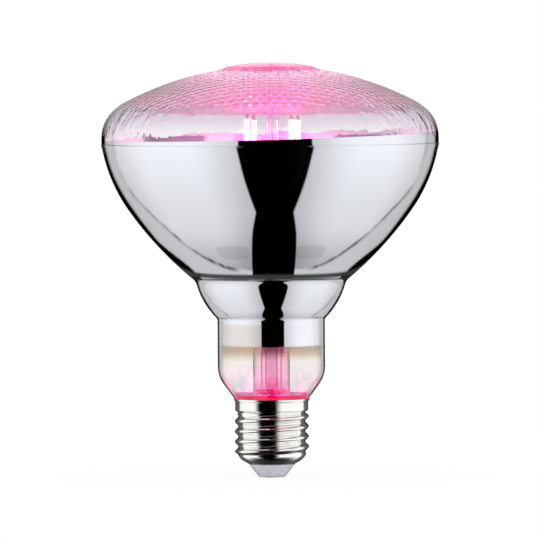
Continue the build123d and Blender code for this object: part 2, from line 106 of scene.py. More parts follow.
# Cap
sheet = 0.3
thread_pitch = 3.629
thread_crest = 13.2
thread_root = 11.95
thread_start = 7.34
thread_foot = 7.7
thread_foot_full = 9.0
thread_head = 23.2
thread_head_full = 22.2
cap_bottom = 4.8
cap_hole = 7.2
cap_floor = 8.2
cap_floor_bend = 0.4
cap_knee_radius = 10.8
cap_knee_height = 6.3
cap_knee_bend = 2.2
collar_radius = 13.0
collar_bottom = 24.0
collar_slope = 0.8
collar_lead = 0.05
collar_foot_bend = 0.02
collar_bend = 0.4
collar_top = 27.0
lip_radius = 13.6
lip_bend = 0.5
lip_top = 28.0

# Fineness of the spun pieces
glass_steps = 416
film_steps = 384
cap_steps = 144
rows_per_turn = 26
bulb_bend_degrees = 7.5
disc_bend_degrees = 5.0
cap_bend_degrees = 8.0
crown_steps = 14
merge_distance = 0.002
least_row = 0.05
nearly_level = 0.01

# Colours that several finishes share
black = (0.0, 0.0, 0.0, 1.0)
white = (1.0, 1.0, 1.0, 1.0)
glass_index = 1.5


# Shader maths
class Field:
    """A number or colour that varies over a surface. Arithmetic on it adds Math nodes."""

    def __init__(self, nodes, socket):
        self.nodes = nodes
        self.socket = socket

    def math(self, operation, *others):
        inputs = dict(enumerate((self,) + others))
        return self.nodes.add("ShaderNodeMath", {"operation": operation}, inputs)

    def reflected(self, operation, other):
        return self.nodes.add("ShaderNodeMath", {"operation": operation}, {0: other, 1: self})

    def __add__(self, other):
        return self.math("ADD", other)

    def __radd__(self, other):
        return self.reflected("ADD", other)

    def __sub__(self, other):
        return self.math("SUBTRACT", other)

    def __rsub__(self, other):
        return self.reflected("SUBTRACT", other)

    def __mul__(self, other):
        return self.math("MULTIPLY", other)

    def __rmul__(self, other):
        return self.reflected("MULTIPLY", other)

    def __truediv__(self, other):
        return self.math("DIVIDE", other)

    def __abs__(self):
        return self.math("ABSOLUTE")

    def least(self, other):
        return self.math("MINIMUM", other)

    def most(self, other):
        return self.math("MAXIMUM", other)

    def ramp(self, low, high, start=0.0, end=1.0):
        """Smooth step from start at low to end at high."""
        inputs = {"Value": self, "From Min": low, "From Max": high, "To Min": start, "To Max": end}
        settings = {"interpolation_type": "SMOOTHSTEP"}
        return self.nodes.add("ShaderNodeMapRange", settings, inputs)


class Nodes:
    """The node tree of a material or of the world."""

    def __init__(self, tree):
        self.tree = tree
        tree.nodes.clear()

    def add(self, kind, settings=None, inputs=None, output=0):
        """Adds one node: its settings first, then the values or links of its sockets."""
        node = self.tree.nodes.new(kind)
        for name, value in (settings or {}).items():
            setattr(node, name, value)
        for key, value in (inputs or {}).items():
            if isinstance(value, Field):
                self.tree.links.new(value.socket, node.inputs[key])
            else:
                node.inputs[key].default_value = value
        return Field(self, node.outputs[output])

    def place(self):
        """The three coordinates of the point, in millimetres."""
        spot = self.add("ShaderNodeTexCoord", output="Object")
        split = self.add("ShaderNodeSeparateXYZ", None, {0: spot})
        outputs = split.socket.node.outputs
        return [Field(self, outputs[axis]) * (1 / MM) for axis in range(3)]

    def spot(self, *numbers):
        """A vector of three numbers."""
        return self.add("ShaderNodeCombineXYZ", None, dict(enumerate(numbers)))

    def mix(self, share, first, second):
        """A colour between first and second."""
        settings = {"data_type": "RGBA"}
        inputs = {0: share, 6: first, 7: second}
        return self.add("ShaderNodeMix", settings, inputs, output=2)

    def noise(self, vector, scale, detail=3.0, roughness=0.5):
        inputs = {"Vector": vector, "Scale": scale, "Detail": detail, "Roughness": roughness}
        return self.add("ShaderNodeTexNoise", {"noise_dimensions": "3D"}, inputs)

    def bump(self, height, strength, distance):
        inputs = {"Height": height, "Strength": strength, "Distance": distance * MM}
        return self.add("ShaderNodeBump", None, inputs)

    def shine(self, **inputs):
        """A Principled shader, its sockets named with underscores for spaces."""
        named = {key.replace("_", " "): value for key, value in inputs.items()}
        return self.add("ShaderNodeBsdfPrincipled", None, named)

    def finish(self, surface, kind="ShaderNodeOutputMaterial"):
        """Links the finished shader to the output of the tree."""
        node = self.tree.nodes.new(kind)
        self.tree.links.new(surface.socket, node.inputs["Surface"])


def material(name):
    made = bpy.data.materials.new(name)
    made.use_nodes = True
    return made, Nodes(made.node_tree)


def rgb(red, green, blue):
    """A colour given as it shows on a screen, 0 to 255, made linear."""
    def linear(part):
        share = part / 255
        return share / 12.92 if share <= 0.04045 else ((share + 0.055) / 1.055) ** 2.4
    return (linear(red), linear(green), linear(blue), 1.0)


# Outlines
def arc_points(start, end, bulge, count):
    """Points after start on an arc to end, which bulges to the right of its way by bulge."""
    (x0, y0), (x1, y1) = start, end
    chord = math.hypot(x1 - x0, y1 - y0)
    if bulge == 0:
        shares = [step / count for step in range(1, count + 1)]
        return [(x0 + (x1 - x0) * share, y0 + (y1 - y0) * share) for share in shares]
    radius = chord * chord / (8 * bulge) + bulge / 2
    across = ((y1 - y0) / chord, -(x1 - x0) / chord)
    middle = ((x0 + x1) / 2, (y0 + y1) / 2)
    centre = (
        middle[0] + across[0] * (bulge - radius),
        middle[1] + across[1] * (bulge - radius),
    )
    first = math.atan2(y0 - centre[1], x0 - centre[0])
    sweep = math.atan2(y1 - centre[1], x1 - centre[0]) - first
    sweep = (sweep + math.pi) % FULL_TURN - math.pi
    angles = [first + sweep * step / count for step in range(1, count + 1)]
    size = abs(radius)
    return [(centre[0] + size * math.cos(a), centre[1] + size * math.sin(a)) for a in angles]


def walk(chain, distance):
    """The point and heading at a distance along a chain of points."""
    for start, end in zip(chain, chain[1:]):
        length = math.dist(start, end)
        heading = ((end[0] - start[0]) / length, (end[1] - start[1]) / length)
        if distance <= length:
            spot = (start[0] + heading[0] * distance, start[1] + heading[1] * distance)
            return spot, heading
        distance -= length
    return chain[-1], heading


def cut_start(chain, distance):
    """The chain without its first stretch of this length."""
    rounding = 1e-6
    spot, _ = walk(chain, distance)
    rest, gone = [], 0.0
    for start, end in zip(chain, chain[1:]):
        gone += math.dist(start, end)
        if gone > distance + rounding:
            rest.append(end)
    return [spot] + rest


def joined(stretches, bends, bend_steps):
    """One smooth chain from stretches that meet at corners, each corner rounded by its bend.

    A corner gets one step for every bend_steps degrees of its turn.
    """
    just_inside = 1e-4
    chain = list(stretches[0])
    for stretch, bend in zip(stretches[1:], bends):
        back = chain[::-1]
        _, leaving = walk(back, just_inside)
        _, entering = walk(stretch, just_inside)
        straightness = -(leaving[0] * entering[0] + leaving[1] * entering[1])
        turn = math.acos(max(-1.0, min(1.0, straightness)))
        reach = bend * math.tan(turn / 2)
        back = cut_start(back, reach)
        rest = cut_start(stretch, reach)
        start, end = back[0], rest[0]
        _, out_of = walk(back, just_inside)
        _, into = walk(rest, just_inside)
        pull = 4 / 3 * math.tan(turn / 4) * bend
        first = (start[0] - out_of[0] * pull, start[1] - out_of[1] * pull)
        second = (end[0] - into[0] * pull, end[1] - into[1] * pull)
        steps = max(2, round(math.degrees(turn) / bend_steps))
        curve = []
        for step in range(1, steps):
            t = step / steps
            weights = ((1 - t) ** 3, 3 * t * (1 - t) ** 2, 3 * t * t * (1 - t), t**3)
            corners = (start, first, second, end)
            curve.append(
                tuple(sum(w * c[axis] for w, c in zip(weights, corners)) for axis in range(2))
            )
        chain = back[::-1] + curve + rest
    return chain


def drawn_in(chain, inset):
    """The chain moved to its left by inset."""
    moved = []
    for index, spot in enumerate(chain):
        before = chain[max(index - 1, 0)]
        after = chain[min(index + 1, len(chain) - 1)]
        length = math.dist(before, after)
        heading = ((after[0] - before[0]) / length, (after[1] - before[1]) / length)
        place = (spot[0] - heading[1] * inset, spot[1] + heading[0] * inset)
        if moved:
            step = (place[0] - moved[-1][0], place[1] - moved[-1][1])
            # On the inside of a bend, a point close behind another would fold back
            if step[0] * heading[0] + step[1] * heading[1] < least_row:
                continue
        moved.append(place)
    return moved


def bulb_chain(spacing, face_spacing):
    """Outer face of the bulb from the tail up to the middle of the dome, without its disc."""
    def line(start, end, bulge=0.0, step=spacing):
        count = max(1, round(math.dist(start, end) / step))
        return [start] + arc_points(start, end, bulge, count)

    tail = (tail_radius, tail_bottom)
    cone = (tail_radius, cone_bottom)
    neck = (neck_radius, neck_bottom)
    waist = (neck_radius, waist_height)
    heel = (heel_radius, heel_height)
    bowl = (bowl_radius, bowl_height)
    rim = (rim_radius, rim_height)
    shoulder = (rim_radius, shoulder_height)
    rise = dome_height - shoulder_height
    sphere = (rim_radius**2 + rise**2) / (2 * rise)

    def dome(radius):
        return (radius, dome_height - sphere + math.sqrt(sphere**2 - radius**2))

    face_steps = round(rim_radius / face_spacing)
    face = [dome(rim_radius * (1 - step / face_steps)) for step in range(face_steps + 1)]
    stretches = [
        line(tail, cone),
        line(cone, neck),
        line(neck, waist),
        line(waist, heel, heel_bulge),
        line(heel, bowl, bowl_lower_bulge),
        line(bowl, rim, bowl_upper_bulge),
        line(rim, shoulder),
        face,
    ]
    bends = [tail_bend, neck_bend, waist_bend, heel_bend, bowl_bend, rim_bend, shoulder_bend]
    return joined(stretches, bends, bulb_bend_degrees)


# Meshes
def deselect():
    bpy.ops.object.select_all(action="DESELECT")


def spun(name, chain, steps):
    """A solid of revolution whose section has the points of chain, in millimetres."""
    deselect()
    radius, height = chain[0]
    bpy.ops.mesh.primitive_plane_add(size=1 * MM, location=(0, 0, 0))
    piece = bpy.context.active_object
    piece.name = name
    piece.data.name = name
    bpy.ops.object.mode_set(mode="EDIT")
    bpy.ops.mesh.merge(type="CENTER")
    bpy.ops.transform.translate(value=(radius * MM, 0, height * MM))
    for before, after in zip(chain, chain[1:]):
        move = ((after[0] - before[0]) * MM, 0, (after[1] - before[1]) * MM)
        bpy.ops.mesh.extrude_vertices_move(TRANSFORM_OT_translate={"value": move})
    bpy.ops.mesh.select_all(action="SELECT")
    bpy.ops.mesh.spin(steps=steps, angle=FULL_TURN, center=(0, 0, 0), axis=(0, 0, 1))
    bpy.ops.mesh.select_all(action="SELECT")
    bpy.ops.mesh.remove_doubles(threshold=merge_distance * MM)
    bpy.ops.mesh.normals_make_consistent(inside=False)
    bpy.ops.object.mode_set(mode="OBJECT")
    # An open sheet may come out facing the axis
    widest = max(piece.data.polygons, key=lambda face: face.center.xy.length)
    if widest.normal.xy.dot(widest.center.xy) < 0:
        bpy.ops.object.mode_set(mode="EDIT")
        bpy.ops.mesh.select_all(action="SELECT")
        bpy.ops.mesh.flip_normals()
        bpy.ops.object.mode_set(mode="OBJECT")
    bpy.ops.object.shade_smooth()
    return piece


def apply_modifiers(piece):
    bpy.context.view_layer.objects.active = piece
    for modifier in list(piece.modifiers):
        bpy.ops.object.modifier_apply(modifier=modifier.name)


def raise_surface(piece, share, height):
    """Lifts each point of a piece along its normal by its share of a height."""
    group = piece.vertex_groups.new(name="lift")
    for vertex in piece.data.vertices:
        lift = share(*(part / MM for part in vertex.co))
        if lift > 0:
            group.add([vertex.index], lift, "REPLACE")
    modifier = piece.modifiers.new("lift", "DISPLACE")
    modifier.direction = "NORMAL"
    modifier.mid_level = 0.0
    modifier.strength = height * MM
    modifier.vertex_group = group.name
    apply_modifiers(piece)
    piece.vertex_groups.clear()


def dress(piece, finish, slot, *nodes):
    """Gives a new piece its material, its place on the lamp and the nodes it stands for."""
    piece.data.materials.clear()
    piece.data.materials.append(finish)
    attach(piece, "root")
    if nodes:
        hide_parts(*nodes)


def smooth_share(value, low, high):
    """Smooth step from 0 at low to 1 at high."""
    share = max(0.0, min(1.0, (value - low) / (high - low)))
    return share * share * (3 - 2 * share)


# Pieces
def lens_share(x, y, z):
    """Height of the stippling at a point of the face, from 0 to 1."""
    radius = math.hypot(x, y)
    if radius > lens_field + lens_fade or radius < disc_radius + lens_to_disc:
        return 0.0
    # Only the outer side of the wall is stippled
    dome = dome_height - (dome_height - shoulder_height) * (radius / rim_radius) ** 2
    if z < dome - glass_wall / 2:
        return 0.0
    row_gap = lens_pitch * math.sqrt(3) / 2
    nearest = lens_pitch
    row = round(y / row_gap)
    for near_row in (row - 1, row, row + 1):
        shift = lens_pitch / 2 if near_row % 2 else 0.0
        column = round((x - shift) / lens_pitch)
        centre_x = column * lens_pitch + shift
        nearest = min(nearest, math.hypot(x - centre_x, y - near_row * row_gap))
    edge = smooth_share(radius, lens_field + lens_fade, lens_field)
    return edge * max(0.0, 1 - (nearest / (lens_pitch / math.sqrt(3))) ** 2)


def with_disc(outer):
    """The outer chain with the raised disc in the middle of its face."""
    on_disc = [spot for spot in outer if spot[1] > shoulder_height and spot[0] < disc_radius]
    start = outer.index(on_disc[0])
    brink = disc_radius - disc_slope
    brink_height = next(spot[1] for spot in on_disc if spot[0] < brink) + disc_edge
    rise = disc_height - brink_height
    crown = [
        (brink * (1 - step / crown_steps), disc_height - rise * (1 - step / crown_steps) ** 2)
        for step in range(crown_steps + 1)
    ]
    edge = [outer[start - 1], (brink, brink_height)]
    return joined([outer[:start], edge, crown], [disc_foot_bend, disc_bend], disc_bend_degrees)


def with_mould_step(outer):
    """The outer chain with the step below the rim.

    Points close to the ledge keep its shading from spreading over the rows beside it.
    """
    stepped = []
    for radius, height in outer:
        in_band = rim_height - mould_band < height < rim_height + nearly_level
        if in_band and radius > rim_radius - mould_depth:
            share = (height - rim_height + mould_band) / mould_band
            if height > rim_height - mould_support_band:
                stepped.append((radius + mould_step * share, height - mould_support))
            stepped.append((radius + mould_step * share, height))
            ledge_height = height + mould_ledge
            ledge = [(radius, ledge_height), (radius, ledge_height + mould_support)]
        else:
            last_radius, last_height = stepped[-1] if stepped else (0.0, 0.0)
            if last_radius > rim_radius and last_height < rim_height + nearly_level < height:
                stepped += ledge
            stepped.append((radius, height))
    return stepped


def make_glass(finish):
    outer = with_mould_step(with_disc(bulb_chain(spacing=2.4, face_spacing=0.65)))
    inner = drawn_in(bulb_chain(spacing=3.0, face_spacing=4.0), glass_wall)
    inner[-1] = (0.0, inner[-1][1])
    inner[0] = (inner[0][0], tail_bottom)
    glass = spun("glass_bulb_blown", outer[::-1] + inner, glass_steps)
    raise_surface(glass, lens_share, lens_height)
    dress(glass, finish, "clear_glass", "glass_bulb")


def make_film(finish):
    """A thin closed shell a little past both edges of the film, which its finish cuts off."""
    skin = drawn_in(bulb_chain(spacing=2.0, face_spacing=3.0), glass_wall + film_gap)
    lowest = film_bottom - film_margin
    highest = film_top + 2 * film_fringe
    narrowest = neck_radius - film_margin
    skin = [spot for spot in skin if lowest < spot[1] < highest and spot[0] > narrowest]
    back = drawn_in(skin, film_thickness)[::-1]
    film = spun("mirror_film_coat", skin + back + [skin[0]], film_steps)
    dress(film, finish, "mirror_film", "mirror_film")


def thread_share(x, y, z):
    """Height of the rolled thread at a point of the cap, from 0 at the root to 1 at the crest."""
    if not thread_foot < z < thread_head or math.hypot(x, y) < thread_root - sheet / 2:
        return 0.0
    turn = FULL_TURN * (z - thread_start) / thread_pitch
    fade = smooth_share(z, thread_foot, thread_foot_full) * smooth_share(z, thread_head, thread_head_full)
    return fade * (1 + math.cos(math.atan2(y, x) - turn)) / 2


def make_cap(finish):
    outline = joined(
        [
            [(cap_hole, cap_bottom), (cap_floor, cap_bottom)],
            [(cap_floor, cap_bottom), (cap_knee_radius, cap_knee_height)],
            [(cap_knee_radius, cap_knee_height), (thread_root, thread_foot)],
        ],
        [cap_floor_bend, cap_knee_bend],
        cap_bend_degrees,
    )
    count = round((thread_head - thread_foot) / thread_pitch * rows_per_turn)
    barrel = [
        (thread_root, thread_foot + (thread_head - thread_foot) * step / count)
        for step in range(1, count + 1)
    ]
    collar = joined(
        [
            [(thread_root, thread_head - collar_lead), (thread_root, collar_bottom - collar_slope)],
            [(thread_root, collar_bottom - collar_slope), (collar_radius, collar_bottom)],
            [(collar_radius, collar_bottom), (collar_radius, collar_top)],
            [(collar_radius, collar_top), (lip_radius, lip_top)],
        ],
        [collar_foot_bend, collar_bend, lip_bend],
        cap_bend_degrees,
    )
    chain = outline + barrel + [spot for spot in collar if spot[1] > thread_head + nearly_level]
    cap = spun("cap_shell_rolled", chain, cap_steps)
    raise_surface(cap, thread_share, thread_crest - thread_root)
    wall = cap.modifiers.new("wall", "SOLIDIFY")
    wall.thickness = sheet * MM
    wall.offset = -1.0
    wall.use_even_offset = True
    apply_modifiers(cap)
    dress(cap, finish, "cap_sheet", "cap_shell")


# Finishes
def lens_distance(nodes, x, y):
    """Square of the distance to the nearest lens of the stippling, 1 where two lenses meet."""
    row = lens_pitch * math.sqrt(3)
    squares = []
    for shift in (0.0, 0.5):
        across = (x - shift * lens_pitch).math("WRAP", lens_pitch / 2, -lens_pitch / 2)
        along = (y - shift * row).math("WRAP", row / 2, -row / 2)
        squares.append(across * across + along * along)
    return squares[0].least(squares[1]) / (lens_pitch * lens_pitch / 3)


def face_parts(nodes, x, y, z, far):
    """Shares of the glass that are the whole face, its middle, stippling, disc and the dashes of painted
    magenta light.
    """
    face_heights = (121.5, 131.0)
    stipple_heights = (120.0, 126.0)
    stipple_edge = (lens_field - 1.5, lens_field + 0.5)
    middle_edge = (10.0, 42.0)
    disc_edge_band = (disc_radius - 1.0, disc_radius)
    dash_edge = (0.12, 0.55)
    face = z.ramp(*face_heights)
    middle = far.ramp(*middle_edge, 1.0, 0.0)
    stippled = far.ramp(*stipple_edge, 1.0, 0.0) * z.ramp(*stipple_heights)
    disc = far.ramp(*disc_edge_band, 1.0, 0.0)
    painted_light_dash = lens_distance(nodes, x, y).ramp(*dash_edge, 1.0, 0.0) * stippled * (1 - disc)
    return face, middle, stippled, disc, painted_light_dash


def glass_finish():
    """Clear glass, hazy and stained in the neck, with painted light: pink in its stippled face with
    glowing dashes and glints, pink patches of glow in the neck and a magenta and red ring at the seal.
    """
    side_clear = (0.88, 0.81, 0.885, 1.0)
    # Painted light: the pink and magenta of the stippled face stand for the filaments' light scattered in
    # it
    side_pink_painted_light = (0.88, 0.62, 0.76, 1.0)
    middle_pink_painted_light = (0.93, 0.64, 0.79, 1.0)
    dash_magenta_painted_light = (0.84, 0.20, 0.46, 1.0)
    disc_pink_painted_light = (0.95, 0.64, 0.80, 1.0)
    clear = (0.985, 0.985, 0.99, 1.0)
    haze_grey = (0.87, 0.855, 0.875, 1.0)
    stain_brown = (0.925, 0.855, 0.77, 1.0)
    # Painted light: the magenta and red ring at the seal, in tint and glow
    seal_painted_magenta = (0.84, 0.05, 0.36, 1.0)
    seal_painted_red = (0.88, 0.20, 0.10, 1.0)
    # Painted glow of the filaments' light in the face, glints, neck patches and seal
    middle_painted_glow = (0.05, 0.003, 0.022, 1.0)
    dash_painted_glow = (0.13, 0.004, 0.05, 1.0)
    disc_painted_glow = (0.13, 0.012, 0.06, 1.0)
    speck_painted_glint = (0.80, 0.62, 0.72, 1.0)
    stray_painted_glow = (0.22, 0.012, 0.07, 1.0)
    seal_painted_magenta_glow = (0.09, 0.0, 0.025, 1.0)
    seal_painted_red_glow = (0.13, 0.008, 0.002, 1.0)
    haze_heights = (30.0, 46.0)
    stain_foot = (36.5, 46.0)
    stain_head = (46.8, 48.0)
    seal_edge = (29.6, 29.8)
    red_edge = (28.6, 28.9)
    stray_foot = (29.0, 32.0)
    stray_head = (33.0, 41.0)
    shoulder_foot = (121.0, 123.5)
    shoulder_head = (128.0, 138.0)
    shoulder_sides = (25.0, 48.0)

    made, nodes = material("blown glass")
    x, y, z = nodes.place()
    far = (x * x + y * y).math("SQRT")
    face, middle, stippled, disc, painted_light_dash = face_parts(nodes, x, y, z, far)
    patchy = nodes.noise(nodes.spot(x, y, z), 0.22, 2.0)
    # Painted glints: bright specks of emission in the stippled middle
    painted_glint_speck = nodes.noise(nodes.spot(x, y, z * 0.3), 0.9, 2.0).ramp(0.57, 0.63) * middle * stippled
    painted_glint_speck = painted_glint_speck * (1 - disc)
    haze = z.ramp(*haze_heights, 1.0, 0.0)
    stain = z.ramp(*stain_foot) * z.ramp(*stain_head, 1.0, 0.0) * patchy.ramp(0.3, 0.6, 0.6, 1.0)
    # Painted light: the seal's magenta and red ring stands for the filaments' light
    seal = z.ramp(*seal_edge, 1.0, 0.0)
    red = z.ramp(*red_edge, 1.0, 0.0)
    # Painted light: patches of pink glow in the neck glass
    painted_stray_glow_share = nodes.noise(nodes.spot(x * 1.5, y * 1.5, z * 0.6), 0.22, 2.0).ramp(0.5, 0.62)
    painted_stray_glow_share = painted_stray_glow_share * z.ramp(*stray_head, 1.0, 0.0) * z.ramp(*stray_foot, 0.4, 1.0)

    # Painted light: the face's pink tint and its magenta dashes
    side_tint_with_painted_light = nodes.mix(stippled, side_clear, side_pink_painted_light)
    face_tint_with_painted_light = nodes.mix(middle * stippled, side_tint_with_painted_light, middle_pink_painted_light)
    face_tint_with_painted_light = nodes.mix(painted_light_dash * patchy.ramp(0.3, 0.6, 0.5, 1.0), face_tint_with_painted_light, dash_magenta_painted_light)
    face_tint_with_painted_light = nodes.mix(disc * stippled, face_tint_with_painted_light, disc_pink_painted_light)
    body_tint_with_painted_seal_light = nodes.mix(haze, clear, haze_grey)
    body_tint_with_painted_seal_light = nodes.mix(stain, body_tint_with_painted_seal_light, stain_brown)
    body_tint_with_painted_seal_light = nodes.mix(seal, body_tint_with_painted_seal_light, nodes.mix(red, seal_painted_magenta, seal_painted_red))

    # Painted light: emission in the glass for the filaments' glow in the face, glints, pink patches in
    # the neck and the seal ring
    glow = nodes.mix(middle * stippled, black, middle_painted_glow)
    glow = nodes.mix(painted_light_dash * face * 0.6, glow, dash_painted_glow)
    glow = nodes.mix(disc * stippled, glow, disc_painted_glow)
    glow = nodes.mix(painted_glint_speck, glow, speck_painted_glint)
    glow = nodes.mix(painted_stray_glow_share, glow, stray_painted_glow)
    glow = nodes.mix(seal, glow, nodes.mix(red, seal_painted_magenta_glow, seal_painted_red_glow))

    # The blown shoulder beside the stippling is a little uneven
    shoulder = z.ramp(*shoulder_foot) * z.ramp(*shoulder_head, 1.0, 0.0)
    shoulder = shoulder * abs(x).ramp(*shoulder_sides, 0.12, 1.0)
    wave = nodes.noise(nodes.spot(x * 0.3, y * 0.3, z * 0.08), 1.0, 2.0) * shoulder
    shader = nodes.shine(
        Base_Color=nodes.mix(face, body_tint_with_painted_seal_light, face_tint_with_painted_light),
        Roughness=0.0,
        IOR=glass_index,
        Transmission_Weight=1.0,
        Emission_Color=glow,
        Emission_Strength=1.0,
        Normal=nodes.bump(wave, 0.2, 1.0),
    )
    nodes.finish(shader)
    return made


def film_finish():
    """Bright aluminium, ragged along both edges; its inner side has a painted pink glow, painted dim plum
    patches and a painted magenta reflection of the filaments, and the left of the neck a painted cream
    reflection.
    """
    clean_silver = rgb(246, 249, 254)
    cream_painted_reflection = rgb(232, 226, 222)
    foot_brown = rgb(206, 186, 156)
    fringe_plum = rgb(120, 92, 118)
    # Painted light on the inner side: a pale pink glow, dim plum patches and a magenta reflection of the
    # filaments
    lining_painted_light = rgb(232, 214, 230)
    lining_painted_dim_patch = rgb(170, 134, 168)
    pale_glow = (0.42, 0.33, 0.42, 1.0)
    plum_painted_glow = (0.09, 0.05, 0.09, 1.0)
    painted_filament_reflection = (0.50, 0.003, 0.16, 1.0)
    foot_edge = (film_solid_bottom - 1.1, film_solid_bottom - 0.6)
    stain_edge = (film_bottom - 2.0, film_solid_bottom - 0.5)
    stain_share = 0.4
    painted_cream_edge = (54.0, 56.0)
    lining_head = (film_top + 1.6, film_top + 1.9)
    lining_inner_side = (25.0, 28.0)
    lining_outer_side = (47.0, 50.0)
    painted_reflection_sides = (14.5, 16.0)
    painted_glow_foot = (108.0, 116.0)

    made, nodes = material("aluminium mirror")
    x, y, z = nodes.place()
    # The upper edge leans, and has a ragged fringe at the back
    slope = x * math.tan(math.radians(film_tilt)) + y * math.tan(math.radians(film_pitch))
    above = z - film_top - slope
    teeth = nodes.noise(nodes.spot(x * 0.9, y * 0.9, 0.0), 1.0, 4.0, 0.7)
    patches = nodes.noise(nodes.spot(x * 0.05, y * 0.05, 0.0), 1.0, 2.0)
    fringe = patches.ramp(0.42, 0.56) * teeth.ramp(0.25, 0.75) * y.ramp(-15.0, 10.0) * film_fringe
    edge = (above - fringe).ramp(0.0, 0.15, 1.0, 0.0)
    body = above.ramp(0.0, 0.1, 1.0, 0.0)
    # The lower edge fades into a thin stain
    ragged = nodes.noise(nodes.spot(x * 0.5, y * 0.5, 0.0), 1.0, 4.0, 0.7)
    foot = (z - ragged).ramp(*foot_edge)
    stain = z.ramp(*stain_edge, 0.0, stain_share)

    # Painted reflection: a warm cream tone on the left of the neck's mirror
    painted_cream_share = z.ramp(*painted_cream_edge, 1.0, 0.0) * x.ramp(-1.0, 1.0, 1.0, 0.0)
    silver = nodes.mix(painted_cream_share, clean_silver, cream_painted_reflection)
    silver = nodes.mix(foot, foot_brown, silver)
    colour = nodes.mix(body, fringe_plum, silver)
    facing = nodes.add("ShaderNodeTexCoord", output="Normal")
    turned = nodes.add("ShaderNodeSeparateXYZ", None, {0: facing}).socket.node.outputs
    outward = (Field(nodes, turned[0]) * x + Field(nodes, turned[1]) * y).ramp(-0.5, 0.5)
    # Painted light on the inner side: dim plum patches, a pale pink glow and a magenta reflection of the
    # filaments near the middle
    spread = abs(x) + teeth * 6.0
    painted_dim_band = spread.ramp(*lining_inner_side) * spread.ramp(*lining_outer_side, 1.0, 0.0)
    painted_dim_band = painted_dim_band * (z + teeth * 3.0).ramp(*lining_head, 1.0, 0.0)
    painted_reflection_share = (abs(x) + teeth * 4.0).ramp(*painted_reflection_sides, 1.0, 0.0)
    painted_lining = nodes.mix(painted_dim_band, lining_painted_light, lining_painted_dim_patch)
    colour = nodes.mix(outward, painted_lining, colour)
    glow = nodes.mix(painted_dim_band, pale_glow, plum_painted_glow)
    glow = nodes.mix(painted_reflection_share, glow, painted_filament_reflection)
    glow = nodes.mix(outward, glow, black)
    mist = nodes.noise(nodes.spot(x, y, z), 0.12)
    shader = nodes.shine(
        Base_Color=colour,
        Metallic=1.0,
        Roughness=mist.ramp(0.2, 0.8, 0.012, 0.04) + (1 - outward) * 0.2,
        Alpha=edge * foot.most(stain) * body.ramp(0.0, 1.0, 0.75, 1.0),
        Emission_Color=nodes.mix(z.ramp(*painted_glow_foot), black, glow),
        Emission_Strength=1.0,
    )
    nodes.finish(shader)
    return made


def cap_finish():
    """Bright plated sheet with faint streaks that run round the cap."""
    made, nodes = material("nickel plated sheet")
    x, y, z = nodes.place()
    streak = nodes.noise(nodes.spot(x * 0.3, y * 0.3, z * 3.0), 1.0, 4.0)
    cloud = nodes.noise(nodes.spot(x, y, z), 0.18)
    colour = nodes.mix(cloud.ramp(0.3, 0.7), rgb(228, 226, 222), rgb(240, 239, 236))
    shader = nodes.shine(
        Base_Color=colour,
        Metallic=1.0,
        Roughness=streak.ramp(0.25, 0.75, 0.05, 0.09),
        Normal=nodes.bump(streak, 0.02, 0.05),
    )
    nodes.finish(shader)
    return made


def plain_finish(name, dark, light, roughness, metallic=0.0, grain_scale=0.8, coat=0.0, relief=0.05):
    """An opaque finish between two colours, with a fine grain in its colour, gloss and relief."""
    made, nodes = material(name)
    x, y, z = nodes.place()
    cloud = nodes.noise(nodes.spot(x, y, z), grain_scale * 0.25)
    grain = nodes.noise(nodes.spot(x, y, z), grain_scale * 4.0, 5.0, 0.6)
    shader = nodes.shine(
        Base_Color=nodes.mix(cloud.ramp(0.25, 0.75), dark, light),
        Metallic=metallic,
        Roughness=grain.ramp(0.2, 0.8, roughness * 0.85, roughness * 1.15),
        Coat_Weight=coat,
        Normal=nodes.bump(grain, relief, 0.05),
    )
    nodes.finish(shader)
    return made


def stem_finish():
    """Clear drawn glass with a painted pink tint and a painted glow for the filaments' light, most of all
    low down.
    """
    clear = (0.93, 0.86, 0.9, 1.0)
    # Painted light: the pink tint and the glow stand for the filaments' light
    pink = (0.92, 0.5, 0.7, 1.0)
    faint_painted_glow = (0.05, 0.005, 0.025, 1.0)
    strong_painted_glow = (0.16, 0.003, 0.05, 1.0)
    painted_pink_heights = (28.0, 37.0)
    painted_glow_heights = (26.0, 31.5)

    made, nodes = material("drawn glass")
    x, y, z = nodes.place()
    shader = nodes.shine(
        Base_Color=nodes.mix(z.ramp(*painted_pink_heights, 1.0, 0.0), clear, pink),
        Roughness=0.0,
        IOR=glass_index,
        Transmission_Weight=1.0,
        Emission_Color=nodes.mix(z.ramp(*painted_glow_heights, 1.0, 0.0), faint_painted_glow, strong_painted_glow),
        Emission_Strength=1.0,
    )
    nodes.finish(shader)
    return made


def wire_finish():
    """Nickel wire with a painted pink glow for the lamp's own light, low in the stem and above the
    filaments.
    """
    painted_pink_glow = (0.85, 0.02, 0.30, 1.0)
    painted_low_heights = (48.0, 56.0)
    painted_high_heights = (120.0, 124.0)
    made, nodes = material("drawn wire")
    x, y, z = nodes.place()
    grain = nodes.noise(nodes.spot(x, y, z), 1.2, 3.0)
    # Painted light: pink emission where the wire catches the filaments' light
    lit = z.ramp(*painted_low_heights, 1.0, 0.0).most(z.ramp(*painted_high_heights))
    shader = nodes.shine(
        Base_Color=nodes.mix(grain, rgb(160, 150, 142), rgb(196, 186, 176)),
        Metallic=1.0,
        Roughness=grain.ramp(0.2, 0.8, 0.25, 0.35),
        Emission_Color=nodes.mix(lit, black, painted_pink_glow),
        Emission_Strength=1.0,
    )
    nodes.finish(shader)
    return made


